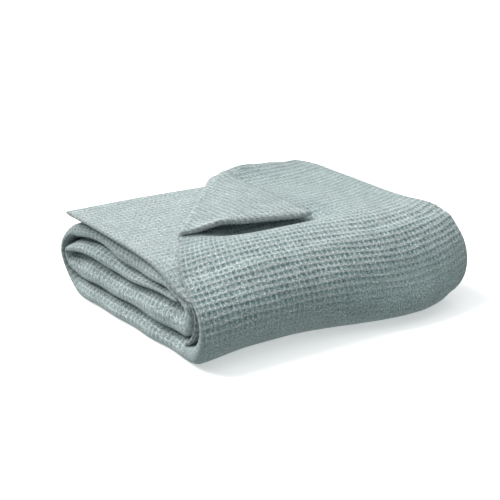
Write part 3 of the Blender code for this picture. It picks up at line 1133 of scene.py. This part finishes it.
def ridge_tones(tree):
    """A colour for each height of the weave: painted shade in the pits, the dye between, and ridges lighter
    as wear and painted highlight.
    """
    height = tree.nodes.new("ShaderNodeAttribute")
    height.attribute_name = "ridge"
    tones = tree.nodes.new("ShaderNodeValToRGB")
    lowest, highest = tones.color_ramp.elements
    lowest.color, lowest.position = PIT_SHADE, PIT_SHADE_AT
    highest.color, highest.position = WORN_AND_LIT, WORN_AND_LIT_AT
    tones.color_ramp.elements.new(DYE_AT).color = DYE
    tree.links.new(height.outputs["Fac"], tones.inputs["Fac"])
    return tones.outputs["Color"]


def faded(tree, color, cloth, fade):
    """The colour with patches of a lighter and a darker dye, fade.scale of them to a cell."""
    patches = tree.nodes.new("ShaderNodeTexNoise")
    patches.inputs["Scale"].default_value = fade.scale
    patches.inputs["Detail"].default_value = 3
    tree.links.new(cloth.outputs["UV"], patches.inputs["Vector"])
    shade = tree.nodes.new("ShaderNodeMapRange")
    shade.inputs["From Min"].default_value = NOISE_LOW
    shade.inputs["From Max"].default_value = NOISE_HIGH
    shade.inputs["To Min"].default_value = fade.darkest
    shade.inputs["To Max"].default_value = fade.lightest
    mix = tree.nodes.new("ShaderNodeMix")
    mix.data_type = "RGBA"
    mix.blend_type = "MULTIPLY"
    mix.inputs["Factor"].default_value = 1
    tree.links.new(patches.outputs["Fac"], shade.inputs["Value"])
    tree.links.new(color, mix.inputs["A"])
    tree.links.new(shade.outputs["Result"], mix.inputs["B"])
    return mix.outputs["Result"]


print("dyed in", len(FADES), "sizes of patches")

# %% Cotton


def fibre_bump(tree, cloth):
    fibres = tree.nodes.new("ShaderNodeTexNoise")
    fibres.inputs["Scale"].default_value = 4
    fibres.inputs["Detail"].default_value = 4
    bump = tree.nodes.new("ShaderNodeBump")
    bump.inputs["Strength"].default_value = 1
    bump.inputs["Distance"].default_value = 0.002
    tree.links.new(cloth.outputs["UV"], fibres.inputs["Vector"])
    tree.links.new(fibres.outputs["Fac"], bump.inputs["Height"])
    return bump.outputs["Normal"]


def waffle_cotton():
    material = bpy.data.materials.new("waffle_cotton_look")
    material.use_nodes = True
    tree = material.node_tree
    shader = tree.nodes["Principled BSDF"]
    shader.inputs["Roughness"].default_value = 0.92
    shader.inputs["Specular IOR Level"].default_value = 0.25
    shader.inputs["Sheen Weight"].default_value = 0.25
    shader.inputs["Sheen Roughness"].default_value = 0.5
    cloth = tree.nodes.new("ShaderNodeUVMap")
    cloth.uv_map = "cloth"
    color = ridge_tones(tree)
    for fade in FADES:
        color = faded(tree, color, cloth, fade)
    tree.links.new(color, shader.inputs["Base Color"])
    tree.links.new(fibre_bump(tree, cloth), shader.inputs["Normal"])
    return material


cotton = waffle_cotton()
for sheet in (inner_layers, back_and_bottom, front_and_top, lower_ply):
    sheet.data.materials.append(cotton)
print("cotton has", len(cotton.node_tree.nodes), "nodes")

# %% [markdown]
# ## The floor
# Bedding is photographed on a light table: a white floor that glows a little, so that shadows stay pale.
# A plain white plane would do, but its bounce would flatten the weave at the foot, so this floor is kept
# out of the cloth's own light.

# %% Floor
FLOOR_SIZE = 12
FLOOR_WHITE = (0.92, 0.89, 0.89, 1)
FLOOR_GLOW = 0.39


def light_table():
    material = bpy.data.materials.new("light_table")
    material.use_nodes = True
    shader = material.node_tree.nodes["Principled BSDF"]
    shader.inputs["Base Color"].default_value = FLOOR_WHITE
    shader.inputs["Roughness"].default_value = 0.8
    shader.inputs["Emission Color"].default_value = (1, 1, 1, 1)
    shader.inputs["Emission Strength"].default_value = FLOOR_GLOW
    return material


floor_bm = bmesh.new()
bmesh.ops.create_grid(floor_bm, x_segments=1, y_segments=1, size=FLOOR_SIZE)
floor_mesh = bpy.data.meshes.new("floor")
floor_bm.to_mesh(floor_mesh)
floor_bm.free()
floor = bpy.data.objects.new("floor", floor_mesh)
bpy.context.scene.collection.objects.link(floor)
floor_mesh.materials.append(light_table())
floor.visible_diffuse = False
print("floor", 2 * FLOOR_SIZE, "m wide")

# %% [markdown]
# ## The light
# One broad light comes from high on the left and behind, so the top is bright and the front falls into soft
# shade.  The room is bright overhead and dark at the horizon, which keeps the front modelled, and a pale
# glow from below lights the layers' undersides.

# %% Light
TO_LIGHT = Vector((-0.42, 0.53, 0.74))
LIGHT_POWER = 3.2
LIGHT_SPREAD = 38  # degrees: a broad light has soft shadows
WARM = (1, 0.955, 0.957)
COOL = (0.92, 1, 1)
Level = namedtuple("Level", "height brightness")
LEVELS = [  # from straight below at -1 to straight above at 1
    Level(-1, 0.68),
    Level(-0.05, 0.56),
    Level(0.06, 0.04),
    Level(0.35, 0.25),
    Level(0.7, 0.8),
    Level(1, 1.15),
]


def soft_light(name, towards, power, spread):
    data = bpy.data.lights.new(name, "SUN")
    data.energy = power
    data.angle = math.radians(spread)
    data.color = WARM
    light = bpy.data.objects.new(name, data)
    light.rotation_euler = towards.to_track_quat("Z", "Y").to_euler()
    bpy.context.scene.collection.objects.link(light)


def surroundings(levels):
    """A plain room, with a brightness for each height that a ray can come from."""
    world = bpy.data.worlds.new("room")
    world.use_nodes = True
    nodes, links = world.node_tree.nodes, world.node_tree.links
    direction = nodes.new("ShaderNodeTexCoord")
    split = nodes.new("ShaderNodeSeparateXYZ")
    height = nodes.new("ShaderNodeMapRange")
    height.inputs["From Min"].default_value = -1
    ramp = nodes.new("ShaderNodeValToRGB")
    for level in levels[1:-1]:
        ramp.color_ramp.elements.new((level.height + 1) / 2)
    for stop, level in zip(ramp.color_ramp.elements, levels):
        stop.color = (*[level.brightness * part for part in COOL], 1)
    nodes["Background"].inputs["Strength"].default_value = 1
    links.new(direction.outputs["Generated"], split.inputs["Vector"])
    links.new(split.outputs["Z"], height.inputs["Value"])
    links.new(height.outputs["Result"], ramp.inputs["Fac"])
    links.new(ramp.outputs["Color"], nodes["Background"].inputs["Color"])
    return world


soft_light("high_left", TO_LIGHT, LIGHT_POWER, LIGHT_SPREAD)
bpy.context.scene.world = surroundings(LEVELS)
bpy.context.scene.view_settings.view_transform = "Standard"
print("light from", [round(part, 2) for part in TO_LIGHT])
